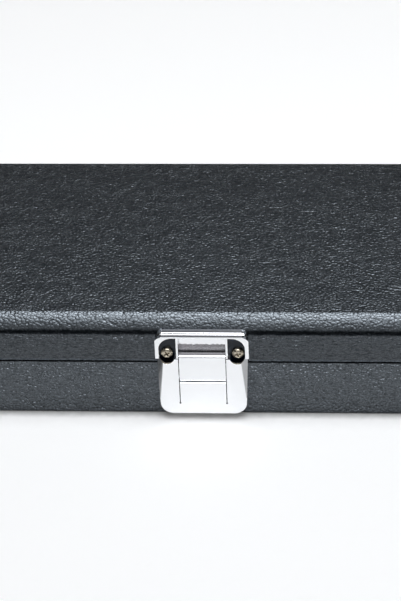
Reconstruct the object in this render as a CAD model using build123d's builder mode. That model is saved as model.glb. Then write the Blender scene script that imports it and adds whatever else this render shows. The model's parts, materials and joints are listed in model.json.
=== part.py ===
from build123d import *
import os
from math import asin, cos, degrees, radians, sin, tan

# Millimetres. X runs along the case, the front with the latches faces -Y and Z is up.
# The origin is the middle of the face that the closed case rests on.

# Case, outside
case_length = 810
case_depth = 110
corner_radius = 10
base_height = 24.5
parting_gap = 0.4
lid_face_height = 13.2
edge_round = 8
crease_angle = 30

# Boards, covering and lining
skin = 0.8
foot_edge_round = 0.6
glue_line = 0.1
wall = 6
board = 3
rim_strip = 2
rim_rise = 3
rim_chamfer = 0.8
rim_clearance = 0.3

# Room for one butt and two shafts
butt_radius = 16.2
shaft_radius = 11.2
cradle_floor = 2
cradle_end = 6
cradle_drop = 0.5
rail_foot = 1.5
rail_round_share = 0.4
end_round = 1.5
finger_gap = 70
finger_gap_offset = 150
pad_thickness = 2.1
pad_margin = 0.6
pad_round = 1.5
lining = 0.8
lining_clearance = 0.5

# Fasteners and running fits. Shanks and their holes are hidden, so they have few sides.
shank_radius = 1.2
shank_sides = 8
shank_length = 5.5
head_taper = 25
pin_clearance = 0.05
side_clearance = 0.3
point_match = 0.01

# Hinges
hinge_spacing = 300
hinge_width = 32
leaf_height = 12.5
leaf_thickness = 1
leaf_corner = 2
knuckle_radius = 2
middle_knuckle = 12
hinge_pin_radius = 1
hinge_screw_spacing = 18
hinge_screw_height = 8.2
hinge_head_radius = 2
hinge_head_height = 0.6

# Latches, whose heights are counted from the parting line and widths from the hasp
latch_offset = 215
latch_depth = 4.6
sheet = 0.9
hasp_width = 17.5
wing_width = 8.85
cover_margin = 0.5
cover_draft = 0.75
cover_rise = 4.7
cover_drop = 21.3
cover_corner = 5
cover_edge = 0.5
bevel_width = 2.6
bevel_depth = 2.8
bevel_runout = 5.3
wing_standoff = 1.4
slit_runout = 5.2
slit_width = 0.35
plate_thickness = 1
plate_top_margin = 0.6
plate_screw_spacing = 10
plate_screw_drop = 3
plate_head_radius = 1.9
countersink_angle = 45

# Hasps
hasp_sheet = 1.2
hasp_rise = 6.2
hasp_pin_radius = 0.7
hasp_pin_drop = 4.7
hasp_knuckle = 1.6
tongue_clearance = 0.1
hook_sheet = 0.8
hook_reach = 3.1
hook_drop = 2
hook_bite = 0.35
hasp_round = 0.8

# Keepers
keeper_lift = 0.7
keeper_height = 14.5
keeper_floor = 1
keeper_corner = 3
keeper_side = 1.4
keeper_brow = 1.2
keeper_rib = 0.8
keeper_foot_corner = 1
pocket_corner = 5
catch_inset = 2.25
catch_shelf_lift = 0.8
catch_shelf = 1
catch_sheet = 0.6
keeper_screw_inset = 4.25
keeper_screw_lift = 5.1
keeper_head_radius = 2.35
keeper_head_height = 1.4
notch_clearance = 0.65

# Handle
handle_span = 112
handle_arm = 8
handle_reach = 27.5
grip_radius = 6.5
eye_radius = 4.6
handle_corner = 15
handle_inner_corner = 8
handle_edge_round = 2
handle_pin_radius = 1.5
handle_height = 12
handle_lift = 0.5
handle_standoff = 0.8
bracket_width = 22
bracket_height = 17
bracket_thickness = 1.2
bracket_corner = 3
bracket_ear = 1.2
bracket_nose = 3.6
bracket_screw_spacing = 16
bracket_head_radius = 2
bracket_head_height = 1.2

# Heights and insets that follow
lid_bottom = base_height + parting_gap
round_start = lid_bottom + lid_face_height
lid_top = round_start + edge_round * cos(radians(crease_angle))
wood_inset = skin + glue_line
cavity_inset = wood_inset + wall
strip_inset = cavity_inset + rim_clearance
cradle_inset = strip_inset + rim_strip + rim_clearance
board_top = wood_inset + board
cradle_bottom = board_top + glue_line
cradle_top = base_height - cradle_drop
ceiling = lid_top - wood_inset - board
hole_radius = shank_radius + pin_clearance
hinge_z = base_height + parting_gap / 2
hinge_y = case_depth / 2 + knuckle_radius + side_clearance

# Places on the latches that follow
keeper_half = hasp_width / 2 + wing_width
cover_half_top = keeper_half - cover_margin
cover_half_bottom = cover_half_top - cover_draft
cover_top = base_height + cover_rise
cover_bottom = base_height - cover_drop
bevel_bottom = cover_bottom + bevel_runout
slit_bottom = cover_bottom + slit_runout
plate_cone = (plate_head_radius - shank_radius) / tan(radians(countersink_angle))
plate_screw_height = base_height - plate_screw_drop
hasp_pin_height = base_height - hasp_pin_drop
hasp_pin_out = latch_depth - hasp_knuckle
hasp_top = base_height + hasp_rise
hasp_back = latch_depth - hasp_sheet
hook_in = latch_depth - hook_reach
window_half = hasp_width / 2 + side_clearance
window_bottom = hasp_pin_height - hasp_knuckle - tongue_clearance
keeper_bottom = lid_bottom + keeper_lift
keeper_top = keeper_bottom + keeper_height
keeper_screw_offset = keeper_half - keeper_screw_inset
keeper_screw_height = lid_bottom + keeper_screw_lift
notch_radius = keeper_head_radius + notch_clearance
catch_top = hasp_top - hook_drop + hook_bite

# What repeats along the case
latch_places = {"left": -latch_offset, "right": latch_offset}
hinge_places = {"left": -hinge_spacing, "middle": 0, "right": hinge_spacing}
bracket_places = {"left": -handle_span / 2, "right": handle_span / 2}
pair = (-1, 1)

# On both faces a sketch reads as (across, height), and an extrusion goes out from the case
front = Plane(origin=(0, -case_depth / 2, 0), x_dir=(1, 0, 0), z_dir=(0, -1, 0))
back = Plane(origin=(0, case_depth / 2, 0), x_dir=(-1, 0, 0), z_dir=(0, 1, 0))


# Front face, with its middle moved along the case
def front_at(x):
    return Plane(origin=(x, -case_depth / 2, 0), x_dir=(1, 0, 0), z_dir=(0, -1, 0))


# Cross-section of what stands on the front face: a sketch reads as (out from the face, height)
def section_at(x):
    return Plane(origin=(x, -case_depth / 2, 0), x_dir=(0, -1, 0), z_dir=(-1, 0, 0))


# The same for the back face
def back_section_at(x):
    return Plane(origin=(x, case_depth / 2, 0), x_dir=(0, 1, 0), z_dir=(1, 0, 0))


# Both places of a pair of screws, at one height
def screw_pair(x, spacing, height):
    return [(x + side * spacing / 2, height) for side in pair]


plate_screw_places = [
    place for x in latch_places.values() for place in screw_pair(x, plate_screw_spacing, plate_screw_height)
]
keeper_screw_places = [
    place
    for x in latch_places.values()
    for place in screw_pair(x, 2 * keeper_screw_offset, keeper_screw_height)
]
bracket_screw_places = [
    place for x in bracket_places.values() for place in screw_pair(x, bracket_screw_spacing, handle_height)
]
hinge_base_screw_places = [
    place
    for x in hinge_places.values()
    for place in screw_pair(x, hinge_screw_spacing, hinge_z - hinge_screw_height)
]
hinge_lid_screw_places = [
    place
    for x in hinge_places.values()
    for place in screw_pair(x, hinge_screw_spacing, hinge_z + hinge_screw_height)
]


# The case's rounded outline at a height, drawn in by an inset
def case_outline(inset, height):
    with BuildSketch(Plane.XY.offset(height)) as outline:
        RectangleRounded(
            case_length - 2 * inset, case_depth - 2 * inset, corner_radius - inset
        )
    return outline.sketch


# A square-cornered outline at a height, drawn in by an inset
def inner_outline(inset, height):
    with BuildSketch(Plane.XY.offset(height)) as outline:
        Rectangle(case_length - 2 * inset, case_depth - 2 * inset)
    return outline.sketch


# The lid's outside, or the same form an inset further in. The flat top slices off the upper
# third of the edge's round, which leaves the crease that runs along the lid.
def lid_form(inset, floor):
    radius = edge_round - inset
    with BuildPart() as form:
        extrude(case_outline(inset, floor), amount=round_start + radius - floor)
        fillet(form.faces().sort_by(Axis.Z)[-1].edges(), radius)
        split(bisect_by=Plane.XY.offset(lid_top - inset), keep=Keep.BOTTOM)
    return form.part


# The parts of a frame of four boards: front and back run through, the ends stand between them
def frame_regions():
    wood_length = case_length - 2 * wood_inset
    wood_depth = case_depth - 2 * wood_inset
    end_x = (wood_length - wall) / 2
    wall_y = (wood_depth - wall) / 2
    return {
        "front_wall": (0, -wall_y, wood_length, wall),
        "back_wall": (0, wall_y, wood_length, wall),
        "left_end": (-end_x, 0, wall, wood_depth - 2 * wall),
        "right_end": (end_x, 0, wall, wood_depth - 2 * wall),
    }


# Sections of the shanks at the given places on a plane, or of their slightly larger holes
def shank_sections(plane, places, radius):
    with BuildSketch(plane) as sections:
        with Locations(*places):
            RegularPolygon(radius, shank_sides)
    return sections.sketch


# Holes through whatever lies under the given screws, to the depth of their shanks
def screw_holes(plane, places):
    with BuildPart() as holes:
        extrude(shank_sections(plane, places, hole_radius), amount=-(shank_length + glue_line))
    return holes.part


# Screws whose tapered heads sit on a plane, as one group
def pan_screws(plane, places, head_radius, head_height, shank):
    with BuildPart() as screws:
        with BuildSketch(plane):
            with Locations(*places):
                Circle(head_radius)
        extrude(amount=head_height, taper=head_taper)
        extrude(shank_sections(plane, places, shank_radius), amount=-shank)
    return screws


# A sketch's corners at a height and at a distance either side of a middle
def corners(sketch, middle, half, height):
    return [
        corner
        for corner in sketch.vertices()
        if abs(abs(corner.X - middle) - half) < point_match and abs(corner.Y - height) < point_match
    ]


# Writes one finished piece under its name
def save(piece, name):
    piece.label = name
    export_step(piece, f"parts/{name}.step")


# Boards of one frame, base or lid, cut to their places and drilled for their screws
def save_frame(prefix, form, top, holes):
    for name, (x, y, length, depth) in frame_regions().items():
        with BuildPart() as frame_board:
            with BuildSketch():
                with Locations((x, y)):
                    Rectangle(length, depth)
            extrude(amount=top)
            add(form, mode=Mode.INTERSECT)
            if name in holes:
                add(holes[name], mode=Mode.SUBTRACT)
        save(frame_board.part, f"{prefix}_{name}")


# Base: four walls, a bottom board and their covering
def make_base():
    wood_top = base_height - wood_inset
    front_holes = screw_holes(front, plate_screw_places + bracket_screw_places)
    back_holes = screw_holes(back, hinge_base_screw_places)
    with BuildPart() as wood:
        extrude(case_outline(wood_inset, wood_inset), amount=wood_top - wood_inset)
    save_frame("base", wood.part, wood_top, {"front_wall": front_holes, "back_wall": back_holes})

    with BuildPart() as bottom_board:
        extrude(inner_outline(cavity_inset, wood_inset), amount=board)
    save(bottom_board.part, "base_bottom_board")

    # The side covering turns in over the walls' top edges
    with BuildPart() as side_covering:
        extrude(case_outline(0, skin), amount=base_height - skin)
        extrude(case_outline(skin, skin), amount=base_height - 2 * skin, mode=Mode.SUBTRACT)
        extrude(inner_outline(cavity_inset, skin), amount=base_height - skin, mode=Mode.SUBTRACT)
        add([front_holes, back_holes], mode=Mode.SUBTRACT)
    save(side_covering.part, "base_side_covering")

    with BuildPart() as bottom_covering:
        extrude(case_outline(0, 0), amount=skin)
        fillet(bottom_covering.faces().sort_by(Axis.Z)[0].edges(), foot_edge_round)
    save(bottom_covering.part, "base_bottom_covering")


# Four strips inside the base walls stand up into the lid, so that the two halves meet true
def make_rim_strips():
    strip_length = case_length - 2 * strip_inset
    strip_depth = case_depth - 2 * strip_inset
    end_x = (strip_length - rim_strip) / 2
    strip_y = (strip_depth - rim_strip) / 2
    with BuildPart() as strips:
        with BuildSketch(Plane.XY.offset(cradle_bottom)):
            with Locations((0, -strip_y), (0, strip_y)):
                Rectangle(strip_length, rim_strip)
            with Locations((-end_x, 0), (end_x, 0)):
                Rectangle(rim_strip, strip_depth - 2 * rim_strip - 2 * glue_line)
        extrude(amount=base_height + rim_rise - cradle_bottom)
        tops = strips.faces().group_by(Axis.Z)[-1]
        along = tops.edges().filter_by(Axis.X).group_by(SortBy.LENGTH)[-1]
        across = tops.edges().filter_by(Axis.Y).group_by(SortBy.LENGTH)[-1]
        chamfer(along + across, rim_chamfer)
    save(strips.part, "rim_strips")


# Cradle: a foam floor, and flocked rails that stand on it and form three channels. The rails come
# in three lengths, with gaps between them where fingers reach under the cue.
def make_cradle():
    length = case_length - 2 * cradle_inset
    depth = case_depth - 2 * cradle_inset
    rail = (depth - 2 * butt_radius - 4 * shaft_radius) / 4
    rail_round = rail_round_share * rail
    rail_floor = cradle_bottom + cradle_floor
    rail_height = cradle_top - rail_floor
    run_end = length / 2 - cradle_end - glue_line
    gap_start = finger_gap_offset - finger_gap / 2
    gap_end = finger_gap_offset + finger_gap / 2
    runs = ((-run_end, -gap_end), (-gap_start, gap_start), (gap_end, run_end))
    back_y = (depth - rail) / 2
    butt_divider_y = back_y - rail - 2 * butt_radius
    shaft_divider_y = butt_divider_y - rail - 2 * shaft_radius
    front_y = shaft_divider_y - rail - 2 * shaft_radius

    with BuildPart() as floor:
        with BuildSketch(Plane.XY.offset(cradle_bottom)):
            Rectangle(length, depth)
        extrude(amount=cradle_floor)
    save(floor.part, "cradle_floor")

    # Each rail stands upright on its outer side and leans back from the channels that it borders
    for name, y, channel_sides in (
        ("front_rails", front_y, (1,)),
        ("shaft_dividers", shaft_divider_y, pair),
        ("butt_dividers", butt_divider_y, pair),
        ("back_rails", back_y, (-1,)),
    ):
        foot = [side * (rail / 2 + (rail_foot if side in channel_sides else 0)) for side in pair]
        with BuildPart() as rails:
            for run_start, run_stop in runs:
                with BuildSketch(Plane.YZ.offset(run_start)) as section:
                    with BuildLine():
                        Polyline(
                            (y + foot[0], rail_floor),
                            (y + foot[1], rail_floor),
                            (y + rail / 2, cradle_top),
                            (y - rail / 2, cradle_top),
                            close=True,
                        )
                    make_face()
                    fillet(section.vertices().group_by(Axis.Y)[-1], rail_round)
                extrude(amount=run_stop - run_start)
        save(rails.part, name)

    with BuildPart() as ends:
        with BuildSketch(Plane.XY.offset(rail_floor)):
            with Locations(*[(side * (length - cradle_end) / 2, 0) for side in pair]):
                Rectangle(cradle_end, depth)
        extrude(amount=rail_height)
        top_edges = ends.faces().group_by(Axis.Z)[-1].edges().filter_by(Axis.Y)
        fillet(top_edges, end_round)
    save(ends.part, "cradle_ends")


# Lid: four walls with the rounded edge, a top board, the covering and a foam pad
def make_lid():
    wood_bottom = lid_bottom + wood_inset
    front_holes = screw_holes(front, keeper_screw_places)
    back_holes = screw_holes(back, hinge_lid_screw_places)
    save_frame(
        "lid",
        lid_form(wood_inset, wood_bottom),
        lid_top,
        {"front_wall": front_holes, "back_wall": back_holes},
    )

    with BuildPart() as top_board:
        extrude(inner_outline(cavity_inset, ceiling), amount=board)
    save(top_board.part, "lid_top_board")

    # The covering turns in under the walls' bottom edges
    with BuildPart() as covering:
        add(lid_form(0, lid_bottom))
        add(lid_form(skin, lid_bottom + skin), mode=Mode.SUBTRACT)
        extrude(inner_outline(cavity_inset, lid_bottom), amount=skin, mode=Mode.SUBTRACT)
        add([front_holes, back_holes], mode=Mode.SUBTRACT)
    save(covering.part, "lid_covering")

    with BuildPart() as pad:
        extrude(
            inner_outline(cavity_inset + pad_margin, ceiling - glue_line - pad_thickness),
            amount=pad_thickness,
        )
        fillet(pad.faces().sort_by(Axis.Z)[0].edges(), pad_round)
    save(pad.part, "lid_pad")

    # Cloth lines the lid's walls from just above the rim strips to the pad
    lining_bottom = base_height + rim_rise + lining_clearance
    lining_height = ceiling - pad_thickness - 2 * glue_line - lining_bottom
    lining_length = case_length - 2 * cavity_inset - 2 * glue_line
    lining_depth = case_depth - 2 * cavity_inset - 2 * glue_line
    with BuildPart() as linings:
        with BuildSketch(Plane.XY.offset(lining_bottom)):
            with Locations(*[(0, side * (lining_depth - lining) / 2) for side in pair]):
                Rectangle(lining_length, lining)
            with Locations(*[(side * (lining_length - lining) / 2, 0) for side in pair]):
                Rectangle(lining, lining_depth - 2 * lining - 2 * glue_line)
        extrude(amount=lining_height)
    save(linings.part, "lid_linings")


# One leaf with its knuckles. The base leaf hangs below the pin, the lid leaf stands above it.
def hinge_leaf(x, direction, knuckles, gaps, screw_places):
    with BuildPart() as leaf:
        with BuildSketch(back) as leaf_face:
            with Locations((-x, hinge_z + direction * leaf_height / 2)):
                Rectangle(hinge_width, leaf_height)
            fillet(corners(leaf_face, -x, hinge_width / 2, hinge_z + direction * leaf_height), leaf_corner)
        extrude(amount=leaf_thickness)
        with BuildSketch(back):
            for middle, width in gaps:
                with Locations((-x + middle, hinge_z)):
                    Rectangle(width, 2 * (knuckle_radius + side_clearance))
        extrude(amount=leaf_thickness, mode=Mode.SUBTRACT)
        for middle, width in knuckles:
            with BuildSketch(back_section_at(x - middle)):
                with Locations((hinge_y - case_depth / 2, hinge_z)):
                    Circle(knuckle_radius)
            extrude(amount=width / 2, both=True)
        with BuildSketch(back_section_at(x)):
            with Locations((hinge_y - case_depth / 2, hinge_z)):
                Circle(hinge_pin_radius + pin_clearance)
        extrude(amount=hinge_width / 2, both=True, mode=Mode.SUBTRACT)
        own_screws = [place for place in screw_places if abs(place[0] + x) < hinge_width / 2]
        extrude(shank_sections(back, own_screws, hole_radius), amount=leaf_thickness, mode=Mode.SUBTRACT)
    return leaf.part


# Three butt hinges on the back: the base leaf has the outer knuckles, the lid leaf the middle one
def make_hinges():
    outer_width = (hinge_width - middle_knuckle) / 2 - side_clearance
    outer_middle = (hinge_width - outer_width) / 2
    middle_part = [(0, middle_knuckle)]
    outer_parts = [(side * outer_middle, outer_width) for side in pair]
    middle_room = [(0, middle_knuckle + 2 * side_clearance)]
    outer_room = [
        (side * (outer_middle - side_clearance / 2), outer_width + side_clearance) for side in pair
    ]
    for name, x in hinge_places.items():
        base_leaf = hinge_leaf(x, -1, outer_parts, middle_room, hinge_base_screw_places)
        save(base_leaf, f"{name}_hinge_base_leaf")
        lid_leaf = hinge_leaf(x, 1, middle_part, outer_room, hinge_lid_screw_places)
        save(lid_leaf, f"{name}_hinge_lid_leaf")

        with BuildPart() as pin:
            with BuildSketch(back_section_at(x)):
                with Locations((hinge_y - case_depth / 2, hinge_z)):
                    Circle(hinge_pin_radius)
            extrude(amount=hinge_width / 2, both=True)
        save(pin.part, f"{name}_hinge_pin")

    seat = back.offset(leaf_thickness)
    shank = shank_length + leaf_thickness
    base_screws = pan_screws(seat, hinge_base_screw_places, hinge_head_radius, hinge_head_height, shank)
    save(base_screws.part, "hinge_base_screws")
    lid_screws = pan_screws(seat, hinge_lid_screw_places, hinge_head_radius, hinge_head_height, shank)
    save(lid_screws.part, "hinge_lid_screws")


# The latch cover's pressed outside, or the same form an inset further in. Each side has a bevel
# that is widest at the top and runs out near the bottom.
def cover_form(x, inset):
    with BuildPart() as form:
        with BuildSketch(front_at(x)):
            with BuildLine():
                Polyline(
                    (-cover_half_bottom, cover_bottom),
                    (cover_half_bottom, cover_bottom),
                    (cover_half_top, cover_top),
                    (-cover_half_top, cover_top),
                    close=True,
                )
            outline = make_face()
            fillet(outline.vertices().group_by(Axis.Y)[0], cover_corner)
            if inset:
                offset(amount=-inset, kind=Kind.INTERSECTION, mode=Mode.REPLACE)
        extrude(amount=latch_depth - inset)
        for side in pair:
            split(bisect_by=bevel_plane(x, side).offset(-inset), keep=Keep.BOTTOM)
    return form.part


# The plane of one bevel, through its two top corners and the point where it runs out
def bevel_plane(x, side):
    slope = (cover_half_top - cover_half_bottom) / (cover_top - cover_bottom)
    runout_half = cover_half_bottom + slope * (bevel_bottom - cover_bottom)
    face = front_at(x)
    low = face.from_local_coords(Vector(side * cover_half_top, cover_top, latch_depth - bevel_depth))
    high = face.from_local_coords(Vector(side * (cover_half_top - bevel_width), cover_top, latch_depth))
    runout = face.from_local_coords(Vector(side * runout_half, bevel_bottom, latch_depth))
    normal = (high - low).cross(runout - low).normalized()
    if normal.X * side < 0:
        normal = -normal
    return Plane(origin=low, z_dir=normal)


# One latch's half on the base: back plate, pressed cover, hasp, its pin and two plate screws
def make_latch(side_name, x):
    face = front_at(x)
    with BuildPart() as back_plate:
        with BuildSketch(face):
            with BuildLine():
                inner = sheet + glue_line
                Polyline(
                    (-cover_half_bottom + inner, cover_bottom + inner),
                    (cover_half_bottom - inner, cover_bottom + inner),
                    (cover_half_bottom - inner, base_height - plate_top_margin),
                    (-cover_half_bottom + inner, base_height - plate_top_margin),
                    close=True,
                )
            plate_face = make_face()
            fillet(plate_face.vertices().group_by(Axis.Y)[0], cover_corner - inner)
        extrude(amount=plate_thickness)
        # Countersinks for the screws whose heads lie flush under the hasp
        with BuildSketch(face.offset(plate_thickness)):
            with Locations(*screw_pair(0, plate_screw_spacing, plate_screw_height)):
                Circle(plate_head_radius + pin_clearance)
        extrude(amount=-plate_cone, taper=countersink_angle, mode=Mode.SUBTRACT)
        places = screw_pair(0, plate_screw_spacing, plate_screw_height)
        extrude(shank_sections(face, places, hole_radius), amount=plate_thickness, mode=Mode.SUBTRACT)
    save(back_plate.part, f"{side_name}_latch_back_plate")

    with BuildPart() as cover:
        add(cover_form(x, 0))
        front_edges = cover.faces().sort_by(Axis.Y)[0].edges().filter_by(Axis.X, reverse=True)
        fillet(front_edges, cover_edge)
        add(cover_form(x, sheet), mode=Mode.SUBTRACT)
        # The wings that reach over the lid's edge stand clear of the keeper
        with BuildSketch(face):
            with Locations((0, (base_height + cover_top) / 2)):
                Rectangle(2 * keeper_half, cover_top - base_height)
        extrude(amount=wing_standoff, mode=Mode.SUBTRACT)
        with BuildSketch(face):
            with Locations((0, (window_bottom + cover_top) / 2)):
                Rectangle(2 * window_half, cover_top - window_bottom)
            with Locations(*screw_pair(0, 2 * keeper_screw_offset, keeper_screw_height)):
                Circle(notch_radius)
            # Slits free a spring tongue below the hasp, which bears on its knuckle
            for side in pair:
                with Locations((side * (window_half - slit_width / 2), (slit_bottom + window_bottom) / 2)):
                    Rectangle(slit_width, window_bottom - slit_bottom)
                with Locations((side * (window_half - slit_width / 2), slit_bottom)):
                    Circle(slit_width)
        extrude(amount=latch_depth, mode=Mode.SUBTRACT)
        # Ears folded back from the window's edges hold the pin
        for side in pair:
            with BuildSketch(section_at(x + side * window_half)):
                with Locations((hasp_pin_out, hasp_pin_height)):
                    Circle(hasp_knuckle - side_clearance)
                with Locations(((hasp_pin_out + latch_depth - sheet / 2) / 2, hasp_pin_height)):
                    Rectangle(latch_depth - sheet / 2 - hasp_pin_out, 2 * (hasp_knuckle - side_clearance))
            extrude(amount=-side * sheet)
        with BuildSketch(section_at(x)):
            with Locations((hasp_pin_out, hasp_pin_height)):
                Circle(hasp_pin_radius + pin_clearance)
        extrude(amount=window_half + sheet, both=True, mode=Mode.SUBTRACT)
    save(cover.part, f"{side_name}_latch_cover")

    # The hasp's top end curls back and down behind the keeper's catch
    with BuildPart() as hasp:
        with BuildSketch(section_at(x)):
            with BuildLine():
                Polyline(
                    (latch_depth, hasp_pin_height),
                    (latch_depth, hasp_top),
                    (hook_in, hasp_top),
                    (hook_in, hasp_top - hook_drop),
                    (hook_in + hook_sheet, hasp_top - hook_drop),
                    (hook_in + hook_sheet, hasp_top - hook_sheet),
                    (hasp_back, hasp_top - hook_sheet),
                    (hasp_back, hasp_pin_height),
                    close=True,
                )
            blank = make_face()
            fillet(blank.vertices().group_by(Axis.Y)[-1], hasp_round)
            with Locations((hasp_pin_out, hasp_pin_height)):
                Circle(hasp_knuckle)
                Circle(hasp_pin_radius + pin_clearance, mode=Mode.SUBTRACT)
        extrude(amount=hasp_width / 2, both=True)
    save(hasp.part, f"{side_name}_hasp")

    with BuildPart() as pin:
        with BuildSketch(section_at(x)):
            with Locations((hasp_pin_out, hasp_pin_height)):
                Circle(hasp_pin_radius)
        extrude(amount=window_half + sheet, both=True)
    save(pin.part, f"{side_name}_hasp_pin")

    with BuildPart() as plate_screws:
        with BuildSketch(face.offset(plate_thickness)):
            with Locations(*places):
                Circle(plate_head_radius)
        extrude(amount=-plate_cone, taper=countersink_angle)
        extrude(
            shank_sections(face.offset(plate_thickness - plate_cone), places, shank_radius),
            amount=-(shank_length + plate_thickness - plate_cone),
        )
    save(plate_screws.part, f"{side_name}_latch_plate_screws")


# One latch's half on the lid: a keeper with a catch behind the hasp, and its two screws
def make_keeper(side_name, x):
    face = front_at(x)
    rim_bottom = cover_top + side_clearance
    channel_half = hasp_width / 2 + side_clearance / 2
    pocket_in = channel_half + keeper_rib
    pocket_out = keeper_half - keeper_side
    well_top = keeper_top - keeper_brow
    catch_shelf_bottom = keeper_bottom + catch_shelf_lift
    catch_out = (hook_in + hook_sheet + hasp_back + catch_sheet) / 2
    with BuildPart() as keeper:
        with BuildSketch(face) as plate:
            with Locations((0, (keeper_bottom + keeper_top) / 2)):
                Rectangle(2 * keeper_half, keeper_top - keeper_bottom)
            fillet(corners(plate, 0, keeper_half, keeper_top), keeper_corner)
            fillet(corners(plate, 0, keeper_half, keeper_bottom), keeper_foot_corner)
        extrude(amount=keeper_floor)
        with BuildSketch(face.offset(keeper_floor)) as rim:
            with Locations((0, (rim_bottom + keeper_top) / 2)):
                Rectangle(2 * keeper_half, keeper_top - rim_bottom)
            fillet(corners(rim, 0, keeper_half, keeper_top), keeper_corner)
            well_height = well_top - rim_bottom
            with Locations((0, (rim_bottom + well_top) / 2)):
                Rectangle(2 * channel_half, well_height, mode=Mode.SUBTRACT)
            for side in pair:
                with Locations((side * (pocket_in + pocket_out) / 2, (rim_bottom + well_top) / 2)):
                    Rectangle(pocket_out - pocket_in, well_height, mode=Mode.SUBTRACT)
            fillet(corners(rim, 0, pocket_out, well_top), pocket_corner)
        extrude(amount=latch_depth - keeper_floor)
        with BuildSketch(section_at(x)):
            with BuildLine():
                Polyline(
                    (keeper_floor, catch_shelf_bottom),
                    (catch_out, catch_shelf_bottom),
                    (catch_out, catch_top),
                    (catch_out - catch_sheet, catch_top),
                    (catch_out - catch_sheet, catch_shelf_bottom + catch_shelf),
                    (keeper_floor, catch_shelf_bottom + catch_shelf),
                    close=True,
                )
            make_face()
        extrude(amount=hasp_width / 2 - catch_inset, both=True)
        places = screw_pair(0, 2 * keeper_screw_offset, keeper_screw_height)
        extrude(shank_sections(face, places, hole_radius), amount=keeper_floor, mode=Mode.SUBTRACT)
    save(keeper.part, f"{side_name}_keeper")

    seat = face.offset(keeper_floor)
    screws = pan_screws(seat, places, keeper_head_radius, keeper_head_height, shank_length + keeper_floor)
    save(screws.part, f"{side_name}_keeper_screws")


# Handle: a moulded bow that swings between the ears of two brackets
def make_handle():
    pivot_out = grip_radius + handle_standoff
    droop = asin((handle_height - grip_radius - handle_lift) / handle_reach)
    pivot = Vector(0, -case_depth / 2 - pivot_out, handle_height)
    bow_plane = Plane(origin=pivot, x_dir=(1, 0, 0), z_dir=(0, sin(droop), -cos(droop)))
    bow_section = Plane(origin=pivot, x_dir=(0, -cos(droop), -sin(droop)), z_dir=(-1, 0, 0))
    outer_half = (handle_span + handle_arm) / 2
    inner_half = (handle_span - handle_arm) / 2
    outer_reach = handle_reach + grip_radius
    inner_reach = handle_reach - grip_radius
    with BuildPart() as bow:
        with BuildSketch(bow_plane) as outline:
            with Locations((0, (outer_reach - eye_radius) / 2)):
                Rectangle(2 * outer_half, outer_reach + eye_radius)
            with Locations((0, (inner_reach - eye_radius) / 2)):
                Rectangle(2 * inner_half, inner_reach + eye_radius, mode=Mode.SUBTRACT)
            fillet(corners(outline, 0, outer_half, outer_reach), handle_corner)
            fillet(corners(outline, 0, inner_half, inner_reach), handle_inner_corner)
        extrude(amount=2 * grip_radius, both=True)
        with BuildSketch(bow_section):
            Circle(eye_radius)
            with Locations((handle_reach, 0)):
                Circle(grip_radius)
            make_hull()
        extrude(amount=outer_half, both=True, mode=Mode.INTERSECT)
        with BuildSketch(bow_section):
            Circle(handle_pin_radius + pin_clearance)
        extrude(amount=outer_half, both=True, mode=Mode.SUBTRACT)
        grip_edges = bow.edges().filter_by(Axis.X).filter_by(lambda edge: edge.length > handle_span / 2)
        fillet(grip_edges, handle_edge_round)
    save(bow.part, "handle_bow")

    ear_in = handle_arm / 2 + side_clearance
    for side_name, x in bracket_places.items():
        with BuildPart() as bracket:
            with BuildSketch(front_at(x)):
                with Locations((0, handle_height)):
                    RectangleRounded(bracket_width, bracket_height, bracket_corner)
            extrude(amount=bracket_thickness)
            for side in pair:
                with BuildSketch(section_at(x + side * ear_in)):
                    with Locations((pivot_out, handle_height)):
                        Circle(bracket_nose)
                    with Locations((bracket_thickness / 2, handle_height)):
                        Rectangle(bracket_thickness, bracket_height - 2 * bracket_corner)
                    make_hull()
                extrude(amount=-side * bracket_ear)
            with BuildSketch(section_at(x)):
                with Locations((pivot_out, handle_height)):
                    Circle(handle_pin_radius + pin_clearance)
            extrude(amount=ear_in + bracket_ear, both=True, mode=Mode.SUBTRACT)
            places = screw_pair(0, bracket_screw_spacing, handle_height)
            extrude(
                shank_sections(front_at(x), places, hole_radius),
                amount=bracket_thickness,
                mode=Mode.SUBTRACT,
            )
        save(bracket.part, f"{side_name}_handle_bracket")

    with BuildPart() as pins:
        for x in bracket_places.values():
            with BuildSketch(section_at(x)):
                with Locations((pivot_out, handle_height)):
                    Circle(handle_pin_radius)
            extrude(amount=ear_in + bracket_ear, both=True)
    save(pins.part, "handle_pins")

    seat = front.offset(bracket_thickness)
    shank = shank_length + bracket_thickness
    screws = pan_screws(seat, bracket_screw_places, bracket_head_radius, bracket_head_height, shank)
    save(screws.part, "handle_screws")
    print("handle droop at rest, degrees:", round(degrees(droop), 2))


os.makedirs("parts", exist_ok=True)
make_base()
make_rim_strips()
make_cradle()
make_lid()
make_hinges()
for latch_side, latch_x in latch_places.items():
    make_latch(latch_side, latch_x)
    make_keeper(latch_side, latch_x)
make_handle()
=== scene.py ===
import json
from math import asin, atan2, cos, hypot, pi, radians, sin
from random import Random

import bmesh
import bpy
from mathutils import Matrix, Vector


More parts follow.
